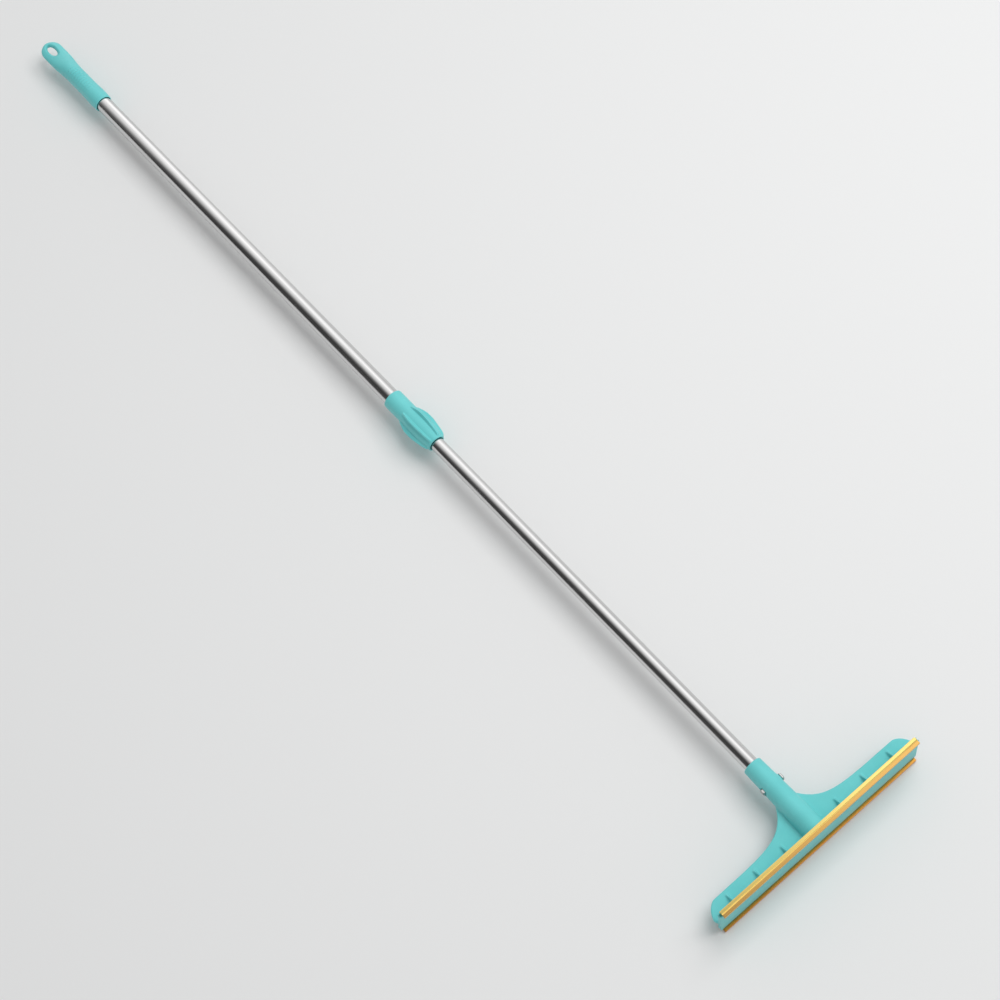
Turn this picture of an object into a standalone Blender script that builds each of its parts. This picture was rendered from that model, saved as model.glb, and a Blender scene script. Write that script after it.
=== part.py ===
"""Two-edged floor and carpet scraper on a telescopic pole.

The pole lies along Y with the head at -Y and the grip at +Y. Z is up. The
origin is on the floor under the middle of the whole tool. Distances called
"from the blades" run along the pole from the middle plane of the two strips.
"""
import math

import bmesh
import bpy

MM = 0.001

# Clearances
GAP = 0.3 * MM                      # between solids that touch on the real tool
NOSE_CLEARANCE = 0.6 * MM           # lock nut nose around the inner tube
EDGE = 0.6 * MM                     # broken or rounded edges of the mouldings

# Pole
INNER_TUBE_DIAMETER = 16.0 * MM
TUBE_WALL = 0.45 * MM
TUBE_ANNULUS = 1.05 * MM            # free space between the two tubes
INNER_TUBE_SHOWN = 485.5 * MM       # socket mouth to lock nut nose
OUTER_TUBE_SHOWN = 541.0 * MM       # lock nut mouth to grip rim
TUBE_OVERLAP = 60.0 * MM            # inner tube hidden in the outer tube

# Grip
GRIP_LENGTH = 122.0 * MM
GRIP_RIM_WALL = 1.1 * MM
GRIP_SWELL = 0.6 * MM               # extra radius behind the rim
GRIP_TUBE_DEPTH = 65.0 * MM
EYE_LENGTH = 20.4 * MM
EYE_WIDTH = 8.8 * MM
EYE_SIDE_WALL = 8.6 * MM
EYE_TIP_WALL = 4.6 * MM
EYE_THICKNESS = 7.0 * MM
EYE_CROWN = 2.0 * MM                # rise of the round section that the flats cut off

# Lock nut, ferrule and clamping bush
NUT_LENGTH = 75.5 * MM
NUT_WALL = 0.85 * MM
NUT_NOSE_WALL = 1.6 * MM
NUT_SWELL = 1.2 * MM                # extra radius of the body between the fins
NUT_LIP_LENGTH = 10.7 * MM
NUT_FIN_COUNT = 6
NUT_FIN_RISE = 5.0 * MM
NUT_FIN_THICKNESS = 3.0 * MM
NUT_FIN_START = 27.0 * MM           # from the nut's mouth
NUT_FIN_END = 74.0 * MM
NUT_FIN_LINE = (                    # shares of the fin's length and of its rise
    (0.0, 0.15), (0.10, 0.47), (0.20, 0.80), (0.34, 1.0), (0.54, 0.95), (0.74, 0.66),
    (0.94, 0.28), (1.0, 0.06))
FERRULE_WALL = 0.8 * MM
FERRULE_SLEEVE = 28.0 * MM
FERRULE_SHOULDER = 3.7 * MM
FERRULE_FROM_NUT_MOUTH = 6.0 * MM
BUSH_WALL_THICK = 1.6 * MM
BUSH_WALL_THIN = 0.7 * MM
BUSH_SLIT = 1.6 * MM

# Plugs inside the inner tube
GUIDE_FLANGE = 6.0 * MM
GUIDE_SPIGOT = 15.0 * MM
PLUG_CUP_WALL = 1.8 * MM
INSERT_FLANGE = 2.4 * MM
INSERT_LENGTH = 44.0 * MM

# Head moulding
HEAD_WIDTH = 264.4 * MM
HEAD_HEIGHT = 56.0 * MM
FLANGE_INSET = 2.0 * MM             # flange ends inside the ends of the plate
FLANGE_THICKNESS = 4.6 * MM
FLANGE_SETBACK = 3.2 * MM           # flange face behind the strips' front edge
PLATE_THICKNESS = 5.0 * MM
PLATE_DROP = 5.0 * MM               # plate's middle plane below the pole axis
PLATE_DEPTH = 22.4 * MM             # from the blades to the arms' rear edge
PLATE_CORNER = 14.0 * MM            # length of the rounded ends along the flange
PLATE_CORNER_FRONT = 6.0 * MM       # where they start, from the blades
PLATE_CORNER_SHAPE = 1.25           # 1 is an ellipse, 2 a straight chamfer
SWEEP_HEIGHT = 25.0 * MM            # web that runs from the arms up to the socket
SWEEP_LENGTH = 15.5 * MM
SOCKET_FROM_BLADES = 95.0 * MM
SOCKET_DEPTH = 50.0 * MM
SOCKET_WALL_REAR = 2.3 * MM
SOCKET_WALL_FRONT = 4.8 * MM
RIB_PITCH = 35.4 * MM
RIBS_PER_SIDE = 3
RIB_THICKNESS = 2.0 * MM
RIB_LENGTH = 14.2 * MM
RIB_HEIGHT_ABOVE = 11.0 * MM
RIB_HEIGHT_BELOW = 9.0 * MM

# Scraper strips
STRIP_INSET = 2.6 * MM              # strip ends inside the ends of the flange
STRIP_WIDTH = 8.0 * MM
STRIP_HEIGHT = 4.0 * MM
STRIP_GROOVE_WIDTH = 1.0 * MM
STRIP_GROOVE_DEPTH = 1.0 * MM
STRIP_EDGE = 0.6 * MM
TONGUE_WIDTH = 1.6 * MM
TONGUE_DEPTH = 3.0 * MM

# Cross bolt and nut
BOLT_DIAMETER = 4.0 * MM
BOLT_FROM_SOCKET_MOUTH = 27.8 * MM
BOLT_HEAD_DIAMETER = 8.4 * MM
BOLT_HEAD_HEIGHT = 2.9 * MM
BOLT_HEAD_RIM = 1.0 * MM
BOLT_END_PROUD = 0.5 * MM
PAD_RISE = 0.5 * MM                 # flat seat above the socket's cone
HEAD_SEAT_MARGIN = 0.3 * MM
HEX_ACROSS_FLATS = 7.0 * MM
HEX_HEIGHT = 3.2 * MM
HEX_PROUD = 1.0 * MM
RECESS_WIDTH = 1.1 * MM
RECESS_SPAN = 4.2 * MM
RECESS_DEPTH = 1.5 * MM

ROUND_STEPS = 48
SMALL_STEPS = 32
UNFLATTENED = 1.0                   # a half thickness that cuts nothing off

# Radii that follow from the tubes
INNER_RADIUS = INNER_TUBE_DIAMETER / 2
INNER_BORE = INNER_RADIUS - TUBE_WALL
OUTER_BORE = INNER_RADIUS + TUBE_ANNULUS
OUTER_RADIUS = OUTER_BORE + TUBE_WALL
SLIDING_BORE = INNER_RADIUS + GAP
FERRULE_BORE = OUTER_RADIUS + GAP
FERRULE_RADIUS = FERRULE_BORE + FERRULE_WALL
NUT_BORE = FERRULE_RADIUS + GAP
NUT_RADIUS = NUT_BORE + NUT_WALL
NUT_NOSE_BORE = INNER_RADIUS + NOSE_CLEARANCE
NUT_NOSE_RADIUS = NUT_NOSE_BORE + NUT_NOSE_WALL
BUSH_RADIUS_TOP = SLIDING_BORE + BUSH_WALL_THICK
BUSH_RADIUS_NOSE = SLIDING_BORE + BUSH_WALL_THIN
PLUG_RADIUS = INNER_BORE - GAP
GUIDE_RADIUS = OUTER_BORE - GAP
BOLT_RADIUS = BOLT_DIAMETER / 2
BOLT_HOLE = BOLT_RADIUS + GAP

# Places along the pole, from the blades
NUT_NOSE = SOCKET_FROM_BLADES + INNER_TUBE_SHOWN
NUT_MOUTH = NUT_NOSE + NUT_LENGTH
GRIP_RIM = NUT_MOUTH + OUTER_TUBE_SHOWN
GRIP_TIP = GRIP_RIM + GRIP_LENGTH
SOCKET_FLOOR = SOCKET_FROM_BLADES - SOCKET_DEPTH
INNER_TUBE_FOOT = SOCKET_FLOOR + GAP + INSERT_FLANGE + GAP
FERRULE_MOUTH = NUT_MOUTH - FERRULE_FROM_NUT_MOUTH
OUTER_TUBE_FOOT = FERRULE_MOUTH - FERRULE_SLEEVE
FERRULE_FOOT = OUTER_TUBE_FOOT - GAP - FERRULE_SHOULDER
BUSH_TOP = FERRULE_FOOT - GAP
BUSH_NOSE = NUT_NOSE + NUT_LIP_LENGTH + GAP
INNER_TUBE_TOP = OUTER_TUBE_FOOT + TUBE_OVERLAP
OUTER_TUBE_TOP = GRIP_RIM + GRIP_TUBE_DEPTH
GRIP_BORE_END = OUTER_TUBE_TOP + GAP
EYE_CENTRE = GRIP_TIP - EYE_TIP_WALL - EYE_LENGTH / 2
BOLT_PLACE = SOCKET_FROM_BLADES - BOLT_FROM_SOCKET_MOUTH

# Places of the head moulding
FLANGE_FRONT = FLANGE_SETBACK - STRIP_WIDTH / 2
FLANGE_REAR = FLANGE_FRONT + FLANGE_THICKNESS
FLANGE_MIDDLE = (FLANGE_FRONT + FLANGE_REAR) / 2
FLANGE_HALF_HEIGHT = HEAD_HEIGHT / 2 - STRIP_HEIGHT - GAP
FLANGE_SIDE = HEAD_WIDTH / 2 - FLANGE_INSET
STRIP_LENGTH = 2 * (FLANGE_SIDE - STRIP_INSET)
SLOT_WIDTH = TONGUE_WIDTH + 2 * GAP
SLOT_DEPTH = TONGUE_DEPTH

AXIS_HEIGHT = HEAD_HEIGHT / 2
OVERALL_LENGTH = GRIP_TIP + STRIP_WIDTH / 2
BLADES_Y = STRIP_WIDTH / 2 - OVERALL_LENGTH / 2

# Parts and cutters
PART_COLLECTION = "pole_scraper"
CUTTER_COLLECTION = "cutters"
TEAL = (0.155, 0.600, 0.640)
STEEL = (0.620, 0.620, 0.630)
BRASS = (0.780, 0.560, 0.200)
NATURAL_PLASTIC = (0.780, 0.780, 0.740)
DARK_PLASTIC = (0.100, 0.105, 0.110)


def clear_scene():
    for item in list(bpy.data.objects):
        bpy.data.objects.remove(item, do_unlink=True)


def new_collection(name):
    made = bpy.data.collections.new(name)
    bpy.context.scene.collection.children.link(made)
    return made


def new_material(name, colour, roughness, metallic):
    made = bpy.data.materials.new(name)
    made.use_nodes = True
    shader = made.node_tree.nodes["Principled BSDF"]
    shader.inputs["Base Color"].default_value = (*colour, 1.0)
    shader.inputs["Roughness"].default_value = roughness
    shader.inputs["Metallic"].default_value = metallic
    made.diffuse_color = (*colour, 1.0)
    return made


def place_from_blades(item, distance):
    """Put an object on the pole axis, its local Z along the pole."""
    item.location = (0.0, BLADES_Y + distance, AXIS_HEIGHT)
    item.rotation_euler = (-math.pi / 2, 0.0, 0.0)


def place_across(item, x):
    """Put an object on the bolt axis, its local Z towards +X."""
    item.location = (x, BLADES_Y + BOLT_PLACE, AXIS_HEIGHT)
    item.rotation_euler = (0.0, math.pi / 2, 0.0)


def link_mesh(name, mesh, home):
    item = bpy.data.objects.new(name, mesh)
    home.objects.link(item)
    return item


def turned(name, home, profile, steps=ROUND_STEPS, ring=False):
    """Turn (radius, height) points, outer side from top to bottom, about local Z."""
    mesh = bpy.data.meshes.new(name)
    edges = [(i, i + 1) for i in range(len(profile) - 1)]
    if ring:
        edges.append((len(profile) - 1, 0))
    mesh.from_pydata([(r, 0.0, z) for r, z in profile], edges, [])
    item = link_mesh(name, mesh, home)
    screw = item.modifiers.new("turn", "SCREW")
    screw.angle = 2 * math.pi
    screw.steps = steps
    screw.render_steps = steps
    screw.use_merge_vertices = True
    screw.merge_threshold = 0.00001
    screw.use_smooth_shade = True
    return item


def extruded(name, home, outline, half_depth, resolution=None, corners=()):
    """Extrude a closed outline by half_depth each way along local Z.

    With a resolution, a smooth curve runs through the points, apart from the corners.
    """
    curve = bpy.data.curves.new(name, "CURVE")
    curve.dimensions = "2D"
    curve.fill_mode = "BOTH"
    curve.extrude = half_depth
    if resolution:
        spline = curve.splines.new("BEZIER")
        spline.bezier_points.add(len(outline) - 1)
        for i, (knot, (x, y)) in enumerate(zip(spline.bezier_points, outline)):
            knot.co = (x, y, 0.0)
            kind = "VECTOR" if i in corners else "AUTO"
            knot.handle_left_type = kind
            knot.handle_right_type = kind
        spline.resolution_u = resolution
    else:
        spline = curve.splines.new("POLY")
        spline.points.add(len(outline) - 1)
        for knot, (x, y) in zip(spline.points, outline):
            knot.co = (x, y, 0.0, 1.0)
    spline.use_cyclic_u = True
    drawn = bpy.data.objects.new(name + "_outline", curve)
    home.objects.link(drawn)
    bpy.context.view_layer.update()
    graph = bpy.context.evaluated_depsgraph_get()
    mesh = bpy.data.meshes.new_from_object(drawn.evaluated_get(graph))
    weld(mesh)
    bpy.data.objects.remove(drawn, do_unlink=True)
    mesh.name = name
    return link_mesh(name, mesh, home)


def weld(mesh):
    work = bmesh.new()
    work.from_mesh(mesh)
    bmesh.ops.remove_doubles(work, verts=work.verts, dist=0.000001)
    bmesh.ops.recalc_face_normals(work, faces=work.faces)
    work.to_mesh(mesh)
    work.free()


def box(name, home, low, high):
    """An axis-aligned block between two corners in world space."""
    middle = [(a + b) / 2 for a, b in zip(low, high)]
    sides = [b - a for a, b in zip(low, high)]
    bpy.ops.mesh.primitive_cube_add(size=1.0, location=middle)
    item = bpy.context.active_object
    item.name = name
    item.scale = sides
    bpy.ops.object.transform_apply(location=False, rotation=False, scale=True)
    move_to(item, home)
    return item


def rod(name, home, radius, length, steps=SMALL_STEPS):
    """A cylinder along local Z, centred on its own origin."""
    bpy.ops.mesh.primitive_cylinder_add(vertices=steps, radius=radius, depth=length)
    item = bpy.context.active_object
    item.name = name
    move_to(item, home)
    return item


def move_to(item, home):
    for old in list(item.users_collection):
        old.objects.unlink(item)
    home.objects.link(item)


def boolean(target, tool, operation):
    step = target.modifiers.new(tool.name, "BOOLEAN")
    step.operation = operation
    step.solver = "EXACT"
    step.object = tool
    tool.hide_render = True
    tool.display_type = "WIRE"


def bevel(item, width, segments=2):
    step = item.modifiers.new("rounded_edges", "BEVEL")
    step.width = width
    step.segments = segments
    step.limit_method = "ANGLE"
    step.angle_limit = math.radians(40)


def new_pivot(name, distance, home):
    pivot = bpy.data.objects.new(name, None)
    pivot.empty_display_size = 0.02
    pivot.location = (0.0, BLADES_Y + distance, AXIS_HEIGHT)
    home.objects.link(pivot)
    return pivot


def carry(pivot, items):
    for item in items:
        item.parent = pivot
        item.location = item.location - pivot.location


def make_outer_tube(home):
    length = OUTER_TUBE_TOP - OUTER_TUBE_FOOT
    item = turned("outer_tube", home, tube_profile(OUTER_RADIUS, OUTER_BORE, length), ring=True)
    place_from_blades(item, OUTER_TUBE_FOOT)
    return item


def tube_profile(radius, bore, length):
    return [(radius, length), (radius, 0.0), (bore, 0.0), (bore, length)]


def make_inner_tube(home, cutters):
    length = INNER_TUBE_TOP - INNER_TUBE_FOOT
    item = turned("inner_tube", home, tube_profile(INNER_RADIUS, INNER_BORE, length), ring=True)
    place_from_blades(item, INNER_TUBE_FOOT)
    boolean(item, bolt_hole_cutter("tube_bolt_hole", cutters), "DIFFERENCE")
    return item


def bolt_hole_cutter(name, cutters):
    item = rod(name, cutters, BOLT_HOLE, 6 * INNER_TUBE_DIAMETER)
    place_across(item, 0.0)
    return item


def make_guide_plug(home):
    """Cup-shaped bearing plug on the hidden top end of the inner tube."""
    foot = -GUIDE_SPIGOT
    cup = PLUG_RADIUS - PLUG_CUP_WALL
    cup_floor = foot + PLUG_CUP_WALL
    profile = [
        (0.0, cup_floor), (cup, cup_floor), (cup, GUIDE_FLANGE), (GUIDE_RADIUS, GUIDE_FLANGE),
        (GUIDE_RADIUS, 0.0), (PLUG_RADIUS, 0.0), (PLUG_RADIUS, foot), (0.0, foot)]
    item = turned("guide_plug", home, profile)
    place_from_blades(item, INNER_TUBE_TOP + GAP)
    return item


def make_tube_insert(home, cutters):
    """Solid plug that keeps the thin tube from crushing under the cross bolt."""
    foot = -GAP - INSERT_FLANGE
    profile = [
        (0.0, INSERT_LENGTH), (PLUG_RADIUS, INSERT_LENGTH), (PLUG_RADIUS, -GAP),
        (INNER_RADIUS, -GAP), (INNER_RADIUS, foot), (0.0, foot)]
    item = turned("tube_insert", home, profile)
    place_from_blades(item, INNER_TUBE_FOOT)
    boolean(item, bolt_hole_cutter("insert_bolt_hole", cutters), "DIFFERENCE")
    return item


def make_lock_ferrule(home):
    """Sleeve on the outer tube's foot that the lock nut screws onto."""
    top = FERRULE_MOUTH - FERRULE_FOOT
    shoulder = FERRULE_SHOULDER
    chamfer = FERRULE_WALL / 2
    profile = [
        (FERRULE_RADIUS - chamfer, top), (FERRULE_RADIUS, top - chamfer),
        (FERRULE_RADIUS, 0.0), (SLIDING_BORE, 0.0), (SLIDING_BORE, shoulder),
        (FERRULE_BORE, shoulder), (FERRULE_BORE, top)]
    item = turned("lock_ferrule", home, profile, ring=True)
    place_from_blades(item, FERRULE_FOOT)
    return item


def make_clamp_bush(home, cutters):
    """Split cone that the nut squeezes onto the inner tube."""
    top = BUSH_TOP - BUSH_NOSE
    profile = [
        (BUSH_RADIUS_TOP, top), (BUSH_RADIUS_NOSE, 0.0), (SLIDING_BORE, 0.0), (SLIDING_BORE, top)]
    item = turned("clamp_bush", home, profile, ring=True)
    place_from_blades(item, BUSH_NOSE)
    low = (-BUSH_SLIT / 2, BLADES_Y + BUSH_NOSE - MM, AXIS_HEIGHT - 2 * BUSH_RADIUS_TOP)
    high = (BUSH_SLIT / 2, BLADES_Y + BUSH_TOP + MM, AXIS_HEIGHT)
    boolean(item, box("bush_slit", cutters, low, high), "DIFFERENCE")
    return item


def make_lock_nut(home, cutters):
    """Twist collar: plain skirt, six raised fins and a tapering nose."""
    mouth = NUT_LENGTH
    cone_top = BUSH_TOP - NUT_NOSE
    cone_foot = BUSH_NOSE - NUT_NOSE - GAP
    taper_start = mouth - NUT_FIN_START
    edge = NUT_WALL / 2
    nose_edge = NUT_NOSE_WALL / 2
    profile = [
        (NUT_RADIUS - edge, mouth), (NUT_RADIUS, mouth - edge),
        (NUT_RADIUS, taper_start), (NUT_RADIUS + NUT_SWELL, 0.7 * taper_start),
        (NUT_RADIUS + NUT_SWELL, 0.45 * taper_start), (NUT_NOSE_RADIUS, nose_edge),
        (NUT_NOSE_RADIUS - nose_edge, 0.0), (NUT_NOSE_BORE, 0.0), (NUT_NOSE_BORE, cone_foot),
        (BUSH_RADIUS_NOSE + GAP, cone_foot), (BUSH_RADIUS_TOP + GAP, cone_top),
        (NUT_BORE, cone_top), (NUT_BORE, mouth)]
    item = turned("lock_nut", home, profile, ring=True)
    place_from_blades(item, NUT_NOSE)
    for i in range(NUT_FIN_COUNT):
        fin = make_fin("nut_fin_%d" % i, cutters, taper_start)
        turn = 2 * math.pi * i / NUT_FIN_COUNT
        place_from_blades(fin, NUT_NOSE)
        fin.rotation_euler = (0.0, turn, 0.0)
        boolean(item, fin, "UNION")
    return item


def make_fin(name, home, top):
    """One fin as an outline in the plane through the nut's axis, local Y along the pole."""
    foot = NUT_LENGTH - NUT_FIN_END
    span = top - foot
    root = (NUT_BORE + NUT_RADIUS) / 2
    nose_root = (NUT_NOSE_BORE + NUT_NOSE_RADIUS) / 2
    outline = [(root, top)]
    for along, rise in NUT_FIN_LINE:
        outline.append((NUT_RADIUS + rise * NUT_FIN_RISE, top - along * span))
    outline += [(nose_root, foot), (root, top - 0.45 * span)]
    item = extruded(name, home, outline, NUT_FIN_THICKNESS / 2)
    bevel(item, NUT_FIN_THICKNESS / 4, 1)
    return item


def make_grip(home, cutters):
    """Round grip that flattens into a hanging eye, with a blind bore for the tube."""
    item = lofted("hand_grip", home, grip_stations())
    item.location = (0.0, BLADES_Y + GRIP_RIM, AXIS_HEIGHT)
    depth = GRIP_TUBE_DEPTH + GAP + MM
    bore = rod("grip_bore", cutters, FERRULE_BORE, depth, ROUND_STEPS)
    place_from_blades(bore, GRIP_BORE_END - depth / 2)
    boolean(item, bore, "DIFFERENCE")
    eye = rod("grip_eye", cutters, 0.5, 2 * EYE_THICKNESS, ROUND_STEPS)
    eye.location = (0.0, BLADES_Y + EYE_CENTRE, AXIS_HEIGHT)
    eye.scale = (EYE_WIDTH, EYE_LENGTH, 1.0)
    boolean(item, eye, "DIFFERENCE")
    return item


def grip_stations():
    """(distance from the rim, half width, half height, half thickness of the flats).

    The shares of a length set where the grip swells and how soon it flattens.
    """
    rim = FERRULE_BORE + GRIP_RIM_WALL
    swell = rim + GRIP_SWELL
    eye_half = (EYE_WIDTH / 2) + EYE_SIDE_WALL
    flat = EYE_THICKNESS / 2
    eye = EYE_CENTRE - GRIP_RIM
    bore_end = GRIP_BORE_END - GRIP_RIM
    start = [
        (0.0, rim - EDGE, rim - EDGE, UNFLATTENED),
        (EDGE, rim, rim, UNFLATTENED),
        (0.12 * bore_end, swell, swell, UNFLATTENED),
        (0.24 * bore_end, swell, swell, UNFLATTENED),
        (0.45 * bore_end, rim + EDGE / 3, rim + EDGE / 3, UNFLATTENED),
        (0.85 * bore_end, rim, rim, UNFLATTENED),
        (1.03 * bore_end, rim, rim, UNFLATTENED)]
    run = eye - EYE_LENGTH / 2 - bore_end
    shoulder = [
        (bore_end + 0.25 * run, rim + EDGE / 2, 0.85 * rim, UNFLATTENED),
        (bore_end + 0.50 * run, (rim + eye_half) / 2, flat + 1.3 * EYE_CROWN, flat + EYE_CROWN),
        (bore_end + 0.75 * run, eye_half, flat + 1.1 * EYE_CROWN, flat + 0.2 * EYE_CROWN),
        (bore_end + 0.90 * run, eye_half, flat + EYE_CROWN, flat)]
    nose = []
    for angle in (0, 20, 40, 55, 68, 80):
        reach = (GRIP_LENGTH - eye) * math.sin(math.radians(angle))
        half = eye_half * math.cos(math.radians(angle))
        nose.append((eye + reach, half, flat + EYE_CROWN, flat))
    return start + shoulder + nose


def lofted(name, home, stations):
    """Skin rings of flattened ellipses along local Y."""
    work = bmesh.new()
    rings = []
    for y, half_width, half_height, flat in stations:
        ring = []
        for i in range(ROUND_STEPS):
            turn = 2 * math.pi * i / ROUND_STEPS
            height = half_height * math.sin(turn)
            height = max(-flat, min(flat, height))
            ring.append(work.verts.new((half_width * math.cos(turn), y, height)))
        rings.append(ring)
    for near, far in zip(rings, rings[1:]):
        for i in range(ROUND_STEPS):
            j = (i + 1) % ROUND_STEPS
            work.faces.new((near[i], near[j], far[j], far[i]))
    work.faces.new(rings[0])
    work.faces.new(rings[-1])
    bmesh.ops.recalc_face_normals(work, faces=work.faces)
    mesh = bpy.data.meshes.new(name)
    work.to_mesh(mesh)
    work.free()
    mesh.shade_smooth()
    mesh.set_sharp_from_angle(angle=math.radians(35))
    return link_mesh(name, mesh, home)


def socket_radius(from_blades):
    """Outside radius of the conical socket at a distance from the blades."""
    rear = SLIDING_BORE + SOCKET_WALL_REAR
    front = SLIDING_BORE + SOCKET_WALL_FRONT
    share = (SOCKET_FROM_BLADES - from_blades) / (SOCKET_FROM_BLADES - FLANGE_FRONT)
    return rear + (front - rear) * share


def plate_outline():
    """Right half of the T plate from the flange round to the socket, then mirrored."""
    side = HEAD_WIDTH / 2
    boss = socket_radius(PLATE_DEPTH)
    half = [(FLANGE_SIDE - 2 * EDGE, FLANGE_MIDDLE)]
    for angle in (0, 25, 50, 75, 90):
        turn = math.radians(angle)
        inwards = 1 - abs(math.cos(turn)) ** PLATE_CORNER_SHAPE
        back = math.sin(turn) ** PLATE_CORNER_SHAPE
        half.append((
            side - PLATE_CORNER * inwards,
            PLATE_CORNER_FRONT + (PLATE_DEPTH - PLATE_CORNER_FRONT) * back))
    for share in (4.5, 3.0, 1.8, 0.9, 0.3, -0.35):
        half.append((boss + share * SWEEP_LENGTH, PLATE_DEPTH + SWEEP_HEIGHT * math.exp(-share)))
    mirrored = [(-x, y) for x, y in reversed(half)]
    corners = (0, len(half) - 1, len(half), 2 * len(half) - 1)
    return half + mirrored, corners


def make_head_body(home, cutters):
    """Plate, flange, ribs and socket as one moulding."""
    outline, corners = plate_outline()
    item = extruded("head_body", home, outline, PLATE_THICKNESS / 2, 6, corners)
    item.location = (0.0, BLADES_Y, AXIS_HEIGHT - PLATE_DROP)
    boolean(item, flange_block(cutters), "UNION")
    boolean(item, socket_cone(cutters), "UNION")
    boolean(item, head_seat(cutters), "UNION")
    for rib in rib_wedges(cutters):
        boolean(item, rib, "UNION")
    for cutter in head_cutters(cutters):
        boolean(item, cutter, "DIFFERENCE")
    return item


def flange_block(cutters):
    low = (-FLANGE_SIDE, BLADES_Y + FLANGE_FRONT, AXIS_HEIGHT - FLANGE_HALF_HEIGHT)
    high = (FLANGE_SIDE, BLADES_Y + FLANGE_REAR, AXIS_HEIGHT + FLANGE_HALF_HEIGHT)
    item = box("flange", cutters, low, high)
    bevel(item, EDGE, 1)
    return item


def socket_cone(cutters):
    start = FLANGE_MIDDLE
    length = SOCKET_FROM_BLADES - start
    rear = socket_radius(SOCKET_FROM_BLADES)
    front = socket_radius(start)
    profile = [(0.0, length), (rear - EDGE, length), (rear, length - EDGE), (front, 0.0), (0.0, 0.0)]
    item = turned("socket_cone", cutters, profile)
    place_from_blades(item, start)
    return item


def pad_reach():
    return socket_radius(BOLT_PLACE) + PAD_RISE


def head_seat(cutters):
    """Flat seat for the bolt's head at +X."""
    inner = SLIDING_BORE + EDGE
    length = pad_reach() - inner
    pad = rod("head_seat", cutters, BOLT_HEAD_DIAMETER / 2 + HEAD_SEAT_MARGIN, length)
    place_across(pad, inner + length / 2)
    return pad


def hexagon_radius():
    return HEX_ACROSS_FLATS / 2 / math.cos(math.pi / 6)


def rib_wedges(cutters):
    ribs = []
    for side in (-1, 1):
        for i in range(1, RIBS_PER_SIDE + 1):
            for level, rise in ((1, RIB_HEIGHT_ABOVE), (-1, RIB_HEIGHT_BELOW)):
                name = "rib_%d_%d_%d" % (side, i, level)
                ribs.append(rib_wedge(name, cutters, side * i * RIB_PITCH, level, rise))
    return ribs


def rib_wedge(name, cutters, x, level, rise):
    """A triangle in the YZ plane: high at the flange, running out on the plate."""
    face = level * PLATE_THICKNESS / 2
    outline_yz = [
        (FLANGE_REAR - EDGE, face - level * EDGE), (FLANGE_REAR + RIB_LENGTH, face - level * EDGE),
        (FLANGE_REAR + RIB_LENGTH, face), (FLANGE_REAR, face + level * rise),
        (FLANGE_REAR - EDGE, face + level * rise)]
    outline = [(-z, y) for y, z in outline_yz]
    item = extruded(name, cutters, outline, RIB_THICKNESS / 2)
    item.location = (x, BLADES_Y, AXIS_HEIGHT - PLATE_DROP)
    item.rotation_euler = (0.0, math.pi / 2, 0.0)
    return item


def head_cutters(cutters):
    made = []
    depth = SOCKET_DEPTH + MM
    bore = rod("socket_bore", cutters, SLIDING_BORE, depth, ROUND_STEPS)
    place_from_blades(bore, SOCKET_FLOOR + depth / 2)
    made.append(bore)
    made.append(bolt_hole_cutter("head_bolt_hole", cutters))
    pocket = rod("hexagon_pocket", cutters, hexagon_radius() + GAP, pad_reach(), 6)
    place_across(pocket, -(hexagon_floor() + pad_reach() / 2))
    made.append(pocket)
    for level in (-1, 1):
        tip = level * (FLANGE_HALF_HEIGHT + MM)
        floor = level * (FLANGE_HALF_HEIGHT - SLOT_DEPTH)
        low = (-HEAD_WIDTH, BLADES_Y + FLANGE_MIDDLE - SLOT_WIDTH / 2, AXIS_HEIGHT + min(tip, floor))
        high = (HEAD_WIDTH, BLADES_Y + FLANGE_MIDDLE + SLOT_WIDTH / 2, AXIS_HEIGHT + max(tip, floor))
        made.append(box("strip_slot_%d" % level, cutters, low, high))
    return made


def hexagon_floor():
    """Distance of the nut pocket's floor from the pole axis."""
    return socket_radius(BOLT_PLACE) + HEX_PROUD - HEX_HEIGHT - GAP


def make_strip(name, home, level):
    """Brass strip: two scraping edges, a groove between them and a tongue below."""
    half = STRIP_WIDTH / 2
    groove = STRIP_GROOVE_WIDTH / 2
    tongue = TONGUE_WIDTH / 2
    seat = HEAD_HEIGHT / 2 - STRIP_HEIGHT
    top = HEAD_HEIGHT / 2
    outline_yz = [
        (-half, seat), (FLANGE_MIDDLE - tongue, seat), (FLANGE_MIDDLE - tongue, seat - TONGUE_DEPTH),
        (FLANGE_MIDDLE + tongue, seat - TONGUE_DEPTH), (FLANGE_MIDDLE + tongue, seat),
        (half, seat), (half, top - STRIP_EDGE), (half - STRIP_EDGE, top), (groove, top),
        (groove * 0.6, top - STRIP_GROOVE_DEPTH), (-groove * 0.6, top - STRIP_GROOVE_DEPTH),
        (-groove, top), (STRIP_EDGE - half, top), (-half, top - STRIP_EDGE)]
    outline = [(-level * z, y) for y, z in outline_yz]
    item = extruded(name, home, outline, STRIP_LENGTH / 2)
    item.location = (0.0, BLADES_Y, AXIS_HEIGHT)
    item.rotation_euler = (0.0, math.pi / 2, 0.0)
    return item


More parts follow.
